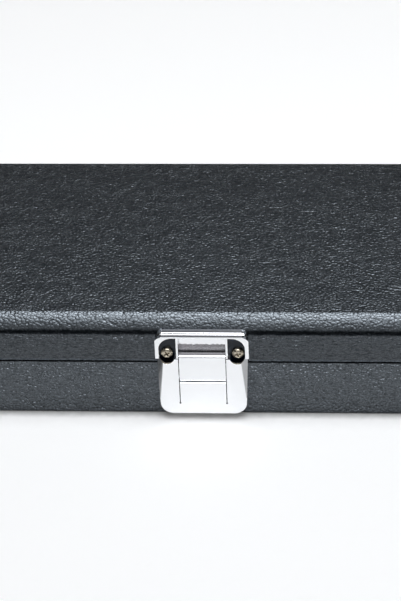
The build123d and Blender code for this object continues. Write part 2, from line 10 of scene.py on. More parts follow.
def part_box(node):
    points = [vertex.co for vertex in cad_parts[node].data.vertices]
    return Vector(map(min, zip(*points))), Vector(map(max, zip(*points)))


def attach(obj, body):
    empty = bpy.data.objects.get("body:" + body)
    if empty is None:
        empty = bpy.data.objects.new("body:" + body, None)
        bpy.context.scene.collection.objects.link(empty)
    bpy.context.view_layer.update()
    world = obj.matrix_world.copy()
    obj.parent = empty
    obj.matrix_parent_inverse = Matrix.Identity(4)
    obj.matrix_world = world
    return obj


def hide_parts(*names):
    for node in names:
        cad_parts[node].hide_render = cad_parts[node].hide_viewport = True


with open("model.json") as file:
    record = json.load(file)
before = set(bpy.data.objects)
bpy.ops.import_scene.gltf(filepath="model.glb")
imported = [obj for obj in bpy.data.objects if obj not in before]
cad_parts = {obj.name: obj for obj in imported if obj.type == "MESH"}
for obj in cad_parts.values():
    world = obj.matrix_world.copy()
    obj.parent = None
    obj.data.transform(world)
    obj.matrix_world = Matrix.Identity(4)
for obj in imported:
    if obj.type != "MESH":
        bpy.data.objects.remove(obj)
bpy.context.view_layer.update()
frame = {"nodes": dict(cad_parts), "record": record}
print("frame loaded")


class Shade:  # a shader value that takes Python's operators
    def __init__(self, tree, socket):
        self.tree = tree
        self.socket = socket

    def work(self, operation, first, second):
        node = self.tree.nodes.new("ShaderNodeMath")
        node.operation = operation
        for place, value in zip(node.inputs, (first, second)):
            feed(self.tree, place, value)
        return Shade(self.tree, node.outputs[0])

    def __add__(self, other):
        return self.work("ADD", self, other)

    def __radd__(self, other):
        return self.work("ADD", other, self)

    def __sub__(self, other):
        return self.work("SUBTRACT", self, other)

    def __rsub__(self, other):
        return self.work("SUBTRACT", other, self)

    def __mul__(self, other):
        return self.work("MULTIPLY", self, other)

    def __rmul__(self, other):
        return self.work("MULTIPLY", other, self)

    def __pow__(self, other):
        return self.work("POWER", self, other)

    def __abs__(self):
        return self.work("ABSOLUTE", self, 0.0)


def feed(tree, place, value):  # a socket takes a link or a plain value
    if isinstance(value, Shade):
        tree.links.new(value.socket, place)
    else:
        place.default_value = value


class Finish:  # a material or a world whose nodes are being laid out
    def __init__(self, owner):
        owner.use_nodes = True
        self.owner = owner
        self.tree = owner.node_tree

    def node(self, kind, settings, sockets, out):
        node = self.tree.nodes.new(kind)
        for setting, value in settings.items():
            setattr(node, setting, value)
        for place, value in sockets.items():
            feed(self.tree, node.inputs[place], value)
        return Shade(self.tree, node.outputs[out])

    def place(self):
        return self.node("ShaderNodeTexCoord", {}, {}, "Object")

    def along(self, axis):  # one coordinate of the object's own space, in metres
        return self.node("ShaderNodeSeparateXYZ", {}, {0: self.place()}, axis)

    def turned(self, coords, angles, scale):
        sockets = {"Vector": coords, "Rotation": [radians(a) for a in angles], "Scale": scale}
        return self.node("ShaderNodeMapping", {}, sockets, 0)

    def noise(self, coords, size, detail=2.0, roughness=0.5):
        sockets = {"Vector": coords, "Scale": 1 / size, "Detail": detail, "Roughness": roughness}
        return self.node("ShaderNodeTexNoise", {}, sockets, "Fac")

    def cells(self, coords, size, feature, **sockets):
        sockets = {"Vector": coords, "Scale": 1 / size, **sockets}
        return self.node("ShaderNodeTexVoronoi", {"feature": feature}, sockets, "Distance")

    def ramp(self, value, low, high, start=0.0, end=1.0):
        sockets = {"Value": value, "From Min": low, "From Max": high, "To Min": start, "To Max": end}
        return self.node("ShaderNodeMapRange", {"interpolation_type": "SMOOTHSTEP"}, sockets, 0)

    def vector(self, operation, sockets, out=0):
        return self.node("ShaderNodeVectorMath", {"operation": operation}, sockets, out)

    def warped(self, coords, size, amount):  # coordinates pushed about by a soft noise
        sockets = {"Vector": coords, "Scale": 1 / size, "Detail": 1.0}
        spread = self.node("ShaderNodeTexNoise", {}, sockets, "Color")
        centred = self.vector("SUBTRACT", {0: spread, 1: (0.5, 0.5, 0.5)})
        moved = self.vector("SCALE", {0: centred, "Scale": amount})
        return self.vector("ADD", {0: coords, 1: moved})

    def mix(self, factor, first, second):  # 6, 7 and 2 are the node's colour sockets
        return self.node("ShaderNodeMix", {"data_type": "RGBA"}, {0: factor, 6: first, 7: second}, 2)

    def bump(self, height, depth):
        return self.node("ShaderNodeBump", {}, {"Height": height, "Distance": depth}, 0)

    def covered(self, factor, other):  # another shader over the first, by a factor
        blend = self.tree.nodes.new("ShaderNodeMixShader")
        feed(self.tree, blend.inputs[0], factor)
        self.tree.links.new(self.tree.nodes["Principled BSDF"].outputs[0], blend.inputs[1])
        self.tree.links.new(other.socket, blend.inputs[2])
        self.tree.links.new(blend.outputs[0], self.tree.nodes["Material Output"].inputs[0])
        return self.owner

    def surface(self, sockets):  # feeds the Principled shader and gives back the material
        shader = self.tree.nodes["Principled BSDF"]
        for place, value in sockets.items():
            feed(self.tree, shader.inputs[place], value)
        return self.owner


def newFinish(name):
    return Finish(bpy.data.materials.new(name))


white, black = (1, 1, 1, 1), (0, 0, 0, 1)


def shaded(color, level):  # the same colour, lighter or darker
    return tuple(c * level for c in color[:3]) + (1.0,)


leatherette = {
    "color": (0.0043, 0.0056, 0.0074, 1), "roughness": 0.29, "ior": 2.07, "tint": (0.82, 0.91, 1.0, 1),
    "hollow": 0.5, "poreRough": 0.1, "fineRough": 0.14,
    # The grain: its slant, its sizes in metres, and how much of each kind goes into the height
    "slant": 14, "stretch": (0.8, 1.0, 1.0), "sway": 0.011, "swayBy": 0.002, "bend": 0.5,
    "pebble": 0.00095, "melt": 0.1, "poreWidth": 0.12, "wrinkle": 0.0036, "wrinkleWidth": 0.16,
    "fine": 0.0004, "fineDetail": 3.0, "fineRoughness": 0.6,
    "fullSize": 3, "fullness": (0.3, 0.7, 0.82, 1.15),
    "poreShare": 0.06, "wrinkleShare": 0.08, "fineShare": 0.16, "depth": 0.00033,
    # Heights above the table where the grain changes, and its level on the fronts and on the band
    "topHeight": 0.04503, "topFade": (0.0006, 0.0001), "foot": 0.0386, "fade": 0.001,
    "onFront": 1.6, "onBand": 0.6,
    # A pale line above the seam: wear, and a painted highlight along the lid's lower edge
    "worn": 12.0, "wornHeight": 0.0253, "wornReach": 0.0008, "wornCore": 0.3,
    "wornPatches": (0.3, 0.6, 0.4, 1.0),
    # Painted shade under the band and along the seam, dull grime in the grain, and where they lie
    "grime": (0.006, 0.0075, 0.009, 1), "footReach": 0.0017, "footDrop": 0.1, "footCore": 0.3,
    "footDull": 0.75, "seam": 0.0247, "seamReach": 0.0006, "seamCore": 0.4,
    "streak": 0.0008, "streakStretch": (0.4, 1, 1), "streakEdges": (0.45, 0.7),
    "streakDull": 0.27, "poreDull": 0.2, "lidDull": 0.18,
}


def makeLeatherette():
    s = leatherette
    f = newFinish("leatherette")
    swayed = f.warped(f.place(), s["sway"], s["swayBy"])
    slanted = f.turned(swayed, (0, 0, s["slant"]), s["stretch"])
    bent = f.warped(slanted, s["pebble"], s["pebble"] * s["bend"])
    domes = f.cells(bent, s["pebble"], "SMOOTH_F1", Smoothness=s["melt"]) ** 2
    pores = f.ramp(f.cells(bent, s["pebble"], "DISTANCE_TO_EDGE"), 0.0, s["poreWidth"])
    wrinkles = f.ramp(f.cells(bent, s["wrinkle"], "DISTANCE_TO_EDGE"), 0.0, s["wrinkleWidth"])
    fine = f.noise(slanted, s["fine"], s["fineDetail"], s["fineRoughness"])
    fullness = f.ramp(f.noise(slanted, s["pebble"] * s["fullSize"], 2.0), *s["fullness"])
    # The grain is deeper on the upright sides, and flatter where it is pulled over the band
    up = f.along("Z")
    level = f.ramp(up, s["foot"], s["foot"] + s["fade"], s["onFront"], s["onBand"])
    topStart, topEnd = (s["topHeight"] - below for below in s["topFade"])
    level = level + (1 - level) * f.ramp(up, topStart, topEnd)
    pebbles = (pores * s["poreShare"] - domes) * fullness
    height = (pebbles + wrinkles * s["wrinkleShare"]) * level + fine * s["fineShare"]
    # The pale line above the seam, in patches: partly wear, partly a painted highlight on the lid's lower edge
    line = f.ramp(abs(up - s["wornHeight"]), s["wornReach"], s["wornReach"] * s["wornCore"])
    worn = line * f.ramp(fine, *s["wornPatches"])
    grained = f.mix(pores, shaded(s["color"], s["hollow"]), s["color"])
    f.surface({
        "Base Color": f.mix(worn, grained, shaded(s["color"], s["worn"])),
        "Roughness": s["roughness"] + (1 - pores) * s["poreRough"] + (fine - 0.5) * s["fineRough"],
        "Normal": f.bump(height, s["depth"]), "IOR": s["ior"], "Specular Tint": s["tint"],
    })
    # A dull dark cover: painted shade in the angle under the band and along the seam, grime thinly in the
    # pores and streaks, and the lid's front between seam and band a little duller and darker
    footLine = s["foot"] - s["footReach"] * s["footDrop"]
    footShade = f.ramp(abs(up - footLine), s["footReach"], s["footReach"] * s["footCore"])
    seamShade = f.ramp(abs(up - s["seam"]), s["seamReach"], s["seamReach"] * s["seamCore"])
    drawn = f.turned(f.place(), (0, 0, 0), s["streakStretch"])
    streaks = f.ramp(f.noise(drawn, s["streak"], 2.0), *s["streakEdges"])
    onLid = f.ramp(up, s["seam"], s["seam"] + s["fade"]) * f.ramp(up, s["foot"] + s["fade"], s["foot"])
    thin = (1 - pores) * s["poreDull"] + streaks * s["streakDull"] + onLid * s["lidDull"]
    dull = f.node("ShaderNodeBsdfDiffuse", {}, {"Color": s["grime"]}, 0)
    return f.covered(footShade * s["footDull"] + seamShade + thin, dull)


chromeLook = {
    "color": (0.86, 0.87, 0.885, 1), "roughness": 0.05, "wave": 0.006, "depth": 0.00001,
    "speck": 0.0009, "speckEdges": (0.62, 0.8), "speckRough": 0.08,
}


def makeChrome(name, level):
    s = chromeLook
    f = newFinish(name)
    coords = f.place()
    wave = f.noise(coords, s["wave"], 1.0)
    specks = f.ramp(f.noise(coords, s["speck"], 2.0), *s["speckEdges"])
    return f.surface({
        "Base Color": shaded(s["color"], level), "Metallic": 1.0,
        "Roughness": s["roughness"] + specks * s["speckRough"], "Normal": f.bump(wave, s["depth"]),
    })


channelLook = {
    "dark": (0.16, 0.155, 0.16, 1), "light": 2.6, "line": 0.0338, "blend": 0.0003, "ragged": 0.0016,
    "grit": 0.0004, "gritEdges": (0.45, 0.7), "roughness": 0.42, "polish": 0.34, "depth": 0.00003,
}


def makeChannel():  # the inside of the keeper's channel: chrome above a ragged line, below it dark gritty metal, which is painted shade
    s = channelLook
    f = newFinish("channel")
    grit = f.noise(f.place(), s["grit"], 3.0, 0.7)
    ragged = f.noise(f.place(), s["ragged"], 2.0) - 0.5
    above = f.along("Z") + ragged * s["ragged"]
    plated = f.ramp(above, s["line"] - s["blend"], s["line"] + s["blend"])
    dull = f.mix(f.ramp(grit, *s["gritEdges"]), s["dark"], shaded(s["dark"], s["light"]))
    return f.surface({
        "Base Color": f.mix(plated, dull, chromeLook["color"]), "Metallic": 1.0,
        "Roughness": s["roughness"] - plated * s["polish"], "Normal": f.bump(grit, s["depth"]),
    })


plainLook = {"patch": 9, "dark": 0.7, "roughBy": 0.12}


# One colour, with a fine grain and faint patches
def plain(name, color, roughness, size, depth, metallic=0.0):
    s = plainLook
    f = newFinish(name)
    coords = f.place()
    grain = f.noise(coords, size, 3.0)
    patches = f.noise(coords, size * s["patch"], 2.0)
    return f.surface({
        "Base Color": f.mix(patches, shaded(color, s["dark"]), color), "Metallic": metallic,
        "Roughness": roughness + (patches - 0.5) * s["roughBy"], "Normal": f.bump(grain, depth),
    })


flocking = {
    "color": (0.021, 0.022, 0.026, 1), "dark": 0.6, "light": 1.7, "roughness": 0.94,
    "fibre": 0.00035, "fibreShare": 0.5, "nap": 0.018, "napEdges": (0.35, 0.65), "napShare": 0.6,
    "depth": 0.00012, "sheen": 0.35, "sheenRoughness": 0.4,
}


def makeFlocking(name, level):  # short upright fibres, brushed lighter and darker in patches
    s = flocking
    f = newFinish(name)
    fibres = f.noise(f.place(), s["fibre"], 2.0, 0.7)
    brushed = f.warped(f.place(), s["nap"], s["nap"])
    nap = f.ramp(f.noise(brushed, s["nap"], 2.0), *s["napEdges"])
    dark, light = shaded(s["color"], s["dark"] * level), shaded(s["color"], s["light"] * level)
    return f.surface({
        "Base Color": f.mix(nap * s["napShare"] + fibres * s["fibreShare"], dark, light),
        "Roughness": s["roughness"], "Sheen Weight": s["sheen"],
        "Sheen Roughness": s["sheenRoughness"], "Normal": f.bump(fibres, s["depth"]),
    })


plywoodLook = {
    "early": (0.62, 0.45, 0.27, 1), "late": (0.4, 0.26, 0.14, 1), "grainEdges": (0.35, 0.65),
    "grain": 0.0016, "drawn": (0.06, 1.0, 1.0), "sway": 0.05, "swayBy": 0.004, "depth": 0.00008,
    "pore": 0.3, "poreEdges": (0.6, 0.75), "poreShare": 0.5, "roughness": 0.62, "poreRough": 0.1,
}


def makePlywood():
    s = plywoodLook
    f = newFinish("plywood")
    drawn = f.turned(f.warped(f.place(), s["sway"], s["swayBy"]), (0, 0, 0), s["drawn"])
    grain = f.noise(drawn, s["grain"], 4.0, 0.6)
    pores = f.ramp(f.noise(drawn, s["grain"] * s["pore"], 2.0), *s["poreEdges"])
    color = f.mix(f.ramp(grain, *s["grainEdges"]), s["late"], s["early"])
    return f.surface({
        "Base Color": f.mix(pores * s["poreShare"], color, s["late"]),
        "Roughness": s["roughness"] + pores * s["poreRough"], "Normal": f.bump(grain, s["depth"]),
    })


leather = makeLeatherette()
chrome = makeChrome("chrome", 1.0)
# A darker chrome, for painted shade on the latch covers' side bevels
shadedBevelChrome = makeChrome("shadedBevelChrome", 0.5)
# A grey, rough chrome for the keepers' flat tops: painted shade for the dim light they reflect
shadedTopChrome = plain("shadedTopChrome", (0.42, 0.42, 0.44, 1), 0.4, 0.0006, 0.00002, metallic=1.0)
channel = makeChannel()
steel = plain("steel", (0.55, 0.55, 0.57, 1), 0.28, 0.0006, 0.00001, metallic=1.0)
screwMetal = plain("screwMetal", (0.5, 0.45, 0.36, 1), 0.24, 0.0006, 0.00001, metallic=1.0)
stripPlastic = plain("stripPlastic", (0.022, 0.022, 0.024, 1), 0.4, 0.0008, 0.00002)
handlePlastic = plain("handlePlastic", (0.022, 0.022, 0.024, 1), 0.4, 0.0005, 0.00004)
plush = makeFlocking("plush", 1.25)
flock = makeFlocking("flock", 1.0)

looks = {
    "leatherette": leather, "plywood": makePlywood(), "strip_plastic": stripPlastic,
    "plush_foam": plush, "flock": flock, "chrome": chrome, "steel": steel,
    "screw_metal": screwMetal, "handle_plastic": handlePlastic,
}
for subpart in frame["record"]["subparts"]:
    node = frame["nodes"][subpart["node"]]
    node.data.materials.clear()
    node.data.materials.append(looks[subpart["material_slot"]])
print("materials made")


axes = {"X": Vector((1, 0, 0)), "Y": Vector((0, 1, 0)), "Z": Vector((0, 0, 1))}
near = 1e-6  # two places closer than this, in metres, are the same place
sharp = 35  # a bevel takes the edges that bend by more degrees than this
flat = 1.5  # faces that bend by fewer degrees than this become one
mostly = 0.9  # a direction that follows an axis has more than this share of it


def deselect():
    if bpy.context.mode != "OBJECT":
        bpy.ops.object.mode_set(mode="OBJECT")
    bpy.ops.object.select_all(action="DESELECT")


def take(piece):  # the only piece selected, and the active one
    deselect()
    piece.select_set(True)
    bpy.context.view_layer.objects.active = piece


def startBlock(name, low, high):  # a block between two corners, in edit mode
    deselect()
    low, high = Vector(low), Vector(high)
    bpy.ops.mesh.primitive_cube_add(size=1, location=(low + high) / 2, scale=high - low)
    piece = bpy.context.object
    piece.name = name
    bpy.ops.object.transform_apply(location=True, rotation=True, scale=True)
    bpy.ops.object.mode_set(mode="EDIT")
    return piece


def startCopy(name, node):  # a merged copy of a CAD piece, in edit mode
    deselect()
    piece = bpy.data.objects.new(name, frame["nodes"][node].data.copy())
    bpy.context.scene.collection.objects.link(piece)
    take(piece)
    bpy.ops.mesh.customdata_custom_splitnormals_clear()
    bpy.ops.object.mode_set(mode="EDIT")
    bpy.ops.mesh.select_all(action="SELECT")
    bpy.ops.mesh.remove_doubles(threshold=near)
    bpy.ops.mesh.dissolve_limited(angle_limit=radians(flat))
    return piece


def pick(kind, test):  # selects what passes a test on its place and its direction, in edit mode
    shape = bmesh.from_edit_mesh(bpy.context.edit_object.data)
    bpy.ops.mesh.select_mode(type=kind)
    bpy.ops.mesh.select_all(action="DESELECT")
    shape.normal_update()
    if kind == "FACE":
        for face in shape.faces:
            face.select_set(bool(test(face.calc_center_median(), face.normal)))
    elif kind == "EDGE":
        for edge in shape.edges:
            first, second = edge.verts[0].co, edge.verts[1].co
            edge.select_set(bool(test((first + second) / 2, (second - first).normalized())))
    else:
        for point in shape.verts:
            point.select_set(bool(test(point.co, point.normal)))
    bmesh.update_edit_mesh(bpy.context.edit_object.data)


def cutLoop(axis, place):  # a ring of edges where a plane crosses the piece
    bpy.ops.mesh.select_all(action="SELECT")
    bpy.ops.mesh.bisect(plane_co=place * axes[axis], plane_no=axes[axis])


def cutEvenly(axis, low, high, spacing):  # rings of edges at about the given spacing
    count = max(2, round((high - low) / spacing))
    for k in range(1, count):
        cutLoop(axis, low + (high - low) * k / count)


def modify(piece, kind, **settings):  # adds a modifier and applies it
    take(piece)
    modifier = piece.modifiers.new(kind.lower(), kind)
    for setting, value in settings.items():
        setattr(modifier, setting, value)
    bpy.ops.object.modifier_apply(modifier=modifier.name)


def roundEdges(piece, width, segments, angle=sharp, **settings):
    modify(
        piece, "BEVEL", width=width, segments=segments, limit_method="ANGLE",
        angle_limit=radians(angle), **settings,
    )


def smooth(piece, angle=32):
    take(piece)
    bpy.ops.object.shade_smooth_by_angle(angle=radians(angle))


def join(name, parts):
    take(parts[0])
    for part in parts[1:]:
        part.select_set(True)
    bpy.ops.object.join()
    parts[0].name = name
    return parts[0]


def finishPiece(piece, body, look, slot, *nodes):
    deselect()
    piece.data.materials.clear()
    piece.data.materials.append(look)
    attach(piece, body)
    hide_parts(*nodes)


covering = {
    "thickness": 0.0008, "corner": 0.010, "cornerSteps": 12, "turnIn": 0.0069, "softness": 0.0003,
    "crease": 0.004, "bandFoot": 0.0386, "bandRadius": 0.0105, "bandSteps": 14, "lidSharp": 20,
    "grooveWidth": 0.0006, "grooveDepth": 0.0006, "grooveLip": 0.0001,
    "footRound": 0.001, "baseSharp": 40, "bottomRound": 0.95, "bottomSteps": 5,
}


def roundCorners():  # the four upright edges of a block
    s = covering
    pick("EDGE", lambda middle, way: abs(way.z) > mostly)
    bpy.ops.mesh.bevel(
        offset=s["corner"], offset_type="OFFSET", segments=s["cornerSteps"], affect="EDGES",
    )


def turnIn(height):  # the covering's end at a height wraps over the boards' edges
    pick("FACE", lambda middle, normal: abs(middle.z - height) < near)
    bpy.ops.mesh.inset(thickness=covering["turnIn"], use_even_offset=True)
    bpy.ops.mesh.delete(type="FACE")


def giveWall(piece, angle):  # the covering's thickness, inwards, with its sharp edges softened
    s = covering
    modify(piece, "SOLIDIFY", thickness=s["thickness"], offset=-1, use_even_offset=True)
    roundEdges(piece, s["softness"], 2, angle)
    smooth(piece)


def footInset(height):  # how far the rounded foot is drawn in at a height
    reach = covering["footRound"]
    return reach - (reach ** 2 - (reach - height) ** 2) ** 0.5


def makeLidCovering():
    s = covering
    low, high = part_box("lid_covering")
    foot = s["bandFoot"]
    piece = startBlock("lidLeather", low, (high.x, high.y, foot))
    roundCorners()
    grooveLow, grooveHigh = foot - s["grooveWidth"], foot - s["grooveLip"]
    for height in (grooveLow - s["grooveLip"], grooveLow, grooveHigh):
        cutLoop("Z", height)
    pick("VERT", lambda point, normal: grooveLow - near < point.z < grooveHigh + near)
    bpy.ops.transform.shrink_fatten(value=-s["grooveDepth"])
    # The band leans back in an arc from the groove to the crease
    rise = high.z - foot
    lean = atan2(s["crease"], rise)
    half = asin(hypot(rise, s["crease"]) / 2 / s["bandRadius"])
    angles = [lean + half * (2 * k / s["bandSteps"] - 1) for k in range(s["bandSteps"] + 1)]
    pick("FACE", lambda middle, normal: normal.z > mostly and middle.z > foot - near)
    for start, end in zip(angles, angles[1:]):
        inward = s["bandRadius"] * (cos(start) - cos(end))
        upward = s["bandRadius"] * (sin(end) - sin(start))
        bpy.ops.mesh.inset(thickness=inward, depth=upward, use_even_offset=True)
    turnIn(low.z)
    giveWall(piece, s["lidSharp"])
    finishPiece(piece, "lid", leather, "leatherette", "lid_covering")


def within(value, limit):
    return min(max(value, -limit), limit)


def makeBaseCovering():
    s = covering
    low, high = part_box("base_side_covering")
    reach = s["footRound"]
    inner = high - Vector((s["corner"], s["corner"], 0))
    piece = startBlock("baseLeather", low, high)
    roundCorners()
    rings = (low.z, (low.z + reach) / 2, reach)
    for height in rings[1:]:
        cutLoop("Z", height)
    for height in rings:  # each ring of the foot moves straight in, round the corners too
        pick("VERT", lambda point, normal: abs(point.z - height) < near)
        ring = bmesh.from_edit_mesh(piece.data)
        for point in ring.verts:
            if point.select:
                held = Vector((within(point.co.x, inner.x), within(point.co.y, inner.y), height))
                point.co -= (point.co - held).normalized() * footInset(height)
        bmesh.update_edit_mesh(piece.data)
    pick("FACE", lambda middle, normal: normal.z < -mostly)
    bpy.ops.mesh.delete(type="ONLY_FACE")
    turnIn(high.z)
    giveWall(piece, s["baseSharp"])
    finishPiece(piece, "base", leather, "leatherette", "base_side_covering")


def makeBottomCovering():
    s = covering
    low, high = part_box("base_bottom_covering")
    drawn = footInset(high.z)
    edge = Vector((drawn, drawn, 0))
    piece = startBlock("bottomLeather", low + edge, high - edge)
    roundCorners()
    pick("EDGE", lambda middle, way: middle.z < low.z + near)
    bpy.ops.mesh.bevel(
        offset=s["thickness"] * s["bottomRound"], offset_type="OFFSET",
        segments=s["bottomSteps"], affect="EDGES",
    )
    smooth(piece)
    finishPiece(piece, "base", leather, "leatherette", "base_bottom_covering")


makeLidCovering()
makeBaseCovering()
makeBottomCovering()
print("coverings made")


# A near-black gloss for the keeper's pocket floors: painted shade in the pockets
pocketShadeLook = {
    "color": (0.004, 0.009, 0.018, 1), "roughness": 0.16, "gloss": 0.3,
    "dust": 0.0006, "dustRough": 0.08,
}


def makePocketShade():
    s = pocketShadeLook
    f = newFinish("pocketShade")
    dust = f.noise(f.place(), s["dust"], 2.0)
    return f.surface({
        "Base Color": s["color"], "Roughness": s["roughness"] + dust * s["dustRough"],
        "Specular IOR Level": s["gloss"],
    })


latchWork = {
    "edge": 0.0002, "fineEdge": 0.0001, "roundSteps": 3, "flatness": 80, "keeperBend": 14, "level": 0.99,
    "facets": ((0.0024, 0.0), (0.0029, 0.00057), (0.0046, 0.00058)),  # how far out, how far down
    "corner": 0.003, "cornerSlack": 0.00002, "rowSlack": 0.00001, "pocketDepth": 0.0036, "floorSlack": 0.00005,
    "ribMiddle": 0.0093, "bevelSide": 0.4, "bevelFront": 0.3, "bevelArea": 1e-6,
}
pocketShade = makePocketShade()
pocketShadeSlot, channelSlot, shadedTopSlot = 1, 2, 3


def soften(piece, width, angle=30, bend=40):  # small rounds on the edges, the flat faces kept flat
    s = latchWork
    roundEdges(
        piece, width, s["roundSteps"], angle, use_clamp_overlap=True, miter_outer="MITER_ARC",
    )
    smooth(piece, bend)
    if bend > angle:
        modify(piece, "WEIGHTED_NORMAL", keep_sharp=True, weight=s["flatness"])


def makeKeeper(side):
    s = latchWork
    low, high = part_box(side + "_keeper")
    middleX = (low.x + high.x) / 2
    piece = startCopy(side + "Keeper", side + "_keeper")
    # The top falls by a steep facet to a flat step along its front
    for out, drop in s["facets"][:-1]:
        cutLoop("Y", high.y - out)
    bend = high.z - s["corner"]
    straight = (high.x - low.x) / 2 - s["corner"]

    def onRim(point):  # on the keeper's top or one of its two upper corners
        across = max(abs(point.x - middleX) - straight, 0)
        off = hypot(across, point.z - bend) - s["corner"]
        return point.z > bend + near and abs(off) < s["cornerSlack"]

    for out, drop in s["facets"]:
        row = high.y - out
        pick("VERT", lambda point, normal: onRim(point) and abs(point.y - row) < s["rowSlack"])
        bpy.ops.transform.resize(
            value=(1, 1, 1 - drop / s["corner"]), center_override=(middleX, low.y, bend),
        )
    for way in (-1, 1):  # each rib's foot parts the pockets' floor from the channel's
        cutLoop("X", middleX + way * s["ribMiddle"])
    soften(piece, s["fineEdge"], angle=sharp, bend=s["keeperBend"])
    finishPiece(piece, "lid", chrome, "chrome", side + "_keeper")
    for look in (pocketShade, channel, shadedTopChrome):
        piece.data.materials.append(look)
    floorOut = low.y + s["pocketDepth"]
    for face in piece.data.polygons:
        across = abs(face.center.x - middleX)
        if abs(face.center.y - floorOut) < s["floorSlack"] and face.normal.y < -mostly:
            # the channel's floor takes the channel finish, the pocket floors the near-black gloss of painted
            # shade
            face.material_index = channelSlot if across < s["ribMiddle"] else pocketShadeSlot
        # the flat top takes the grey chrome, painted shade
        elif face.normal.z > s["level"] and face.center.z > bend:
            face.material_index = shadedTopSlot


def isSideBevel(face):
    s = latchWork
    sideways, frontal = abs(face.normal.x), -face.normal.y
    return sideways > s["bevelSide"] and frontal > s["bevelFront"] and face.area > s["bevelArea"]


def makeCover(side):
    cover = startCopy(side + "LatchCover", side + "_latch_cover")
    soften(cover, latchWork["edge"])
    finishPiece(cover, "base", chrome, "chrome", side + "_latch_cover")
    cover.data.materials.append(shadedBevelChrome)
    for face in cover.data.polygons:  # the bevels down its sides take a darker chrome, painted shade
        face.material_index = int(isSideBevel(face))


def makeHasp(side):
    hasp = startCopy(side + "Hasp", side + "_hasp")
    soften(hasp, latchWork["edge"])
    finishPiece(hasp, side + "_hasp", chrome, "chrome", side + "_hasp")


for side in ("left", "right"):
    makeCover(side)
    makeHasp(side)
    makeKeeper(side)
print("latches made")


screwWork = {  # of each kind: head radius, head height and how much of the height is domed
    "keeper": (0.00235, 0.0014, 0.7), "plate": (0.0019, 0.0007, 0.1),
    "hinge": (0.002, 0.0006, 0.8), "handle": (0.002, 0.0012, 0.7),
    "sides": 28, "domeSteps": 4, "domeBend": 35, "shank": 0.0012, "shankShare": 2, "seed": 7,
    "crossLength": 1.15, "crossWidth": 0.3, "crossDepth": 0.6, "crossTaper": 0.7, "crossTop": 1.5,
    "hinges": (-0.3, 0, 0.3), "hingeReach": 0.009, "brackets": (-0.056, 0.056), "bracketReach": 0.008,
}
spins = Random(screwWork["seed"])


def makeHead(radius, height, dome):  # one cross-slotted head that points up, at the origin
    s = screwWork
    deselect()
    bpy.ops.mesh.primitive_cylinder_add(
        vertices=s["sides"], radius=radius, depth=height, location=(0, 0, height / 2),
    )
    head = bpy.context.object
    bpy.ops.object.transform_apply(location=True, rotation=True, scale=True)
    bpy.ops.object.mode_set(mode="EDIT")
    pick("EDGE", lambda middle, way: middle.z > height - near)
    bpy.ops.mesh.bevel(
        offset=height * dome, offset_type="OFFSET", segments=s["domeSteps"], affect="EDGES",
    )
    pick("FACE", lambda middle, normal: normal.z < -mostly)
    bpy.ops.mesh.inset(thickness=radius - s["shank"])
    shank = (0, 0, -height * s["shankShare"])
    bpy.ops.mesh.extrude_region_move(TRANSFORM_OT_translate={"value": shank})
    long, wide = radius * s["crossLength"] / 2, radius * s["crossWidth"] / 2
    floor, top = height * (1 - s["crossDepth"]), height * s["crossTop"]
    for x, y in ((long, wide), (wide, long)):
        cutter = startBlock("cutter", (-x, -y, floor), (x, y, top))
        pick("VERT", lambda point, normal: point.z < height)
        bpy.ops.transform.resize(value=(s["crossTaper"], s["crossTaper"], 1))
        modify(head, "BOOLEAN", object=cutter, operation="DIFFERENCE", solver="EXACT")
        bpy.data.objects.remove(cutter)
    smooth(head, s["domeBend"])
    return head


def placeScrews(kind, node, body, facing, *xPlaces):  # copies of one head, each turned its own way
    radius, height, dome = screwWork[kind]
    low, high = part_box(node)
    z = (low.z + high.z) / 2
    y = low.y + height if facing < 0 else high.y - height
    head = makeHead(radius, height, dome)
    upright = Matrix.Rotation(radians(-90 * facing), 4, "X")
    copies = []
    for x in xPlaces or (low.x + radius, high.x - radius):
        screw = bpy.data.objects.new(node, head.data.copy())
        bpy.context.scene.collection.objects.link(screw)
        spin = Matrix.Rotation(spins.uniform(0, pi / 2), 4, "Z")
        screw.data.transform(Matrix.Translation((x, y, z)) @ upright @ spin)
        copies.append(screw)
    bpy.data.objects.remove(head)
    first, *others = node.split("_")
    name = first + "".join(word.capitalize() for word in others)
    finishPiece(join(name, copies), body, screwMetal, "screw_metal", node)


def bothSides(middles, reach):  # two places round each middle
    return [middle + side * reach for middle in middles for side in (-1, 1)]


hingePlaces = bothSides(screwWork["hinges"], screwWork["hingeReach"])
bracketPlaces = bothSides(screwWork["brackets"], screwWork["bracketReach"])
for side in ("left", "right"):
    placeScrews("keeper", side + "_keeper_screws", "lid", -1)
    placeScrews("plate", side + "_latch_plate_screws", "base", -1)
placeScrews("hinge", "hinge_base_screws", "base", 1, *hingePlaces)
placeScrews("hinge", "hinge_lid_screws", "lid", 1, *hingePlaces)
placeScrews("handle", "handle_screws", "base", -1, *bracketPlaces)
print("screws made")


hardware = {"leafEdge": 0.00018, "bracketEdge": 0.0003, "stripEdge": 0.0003, "bowAngle": 40}


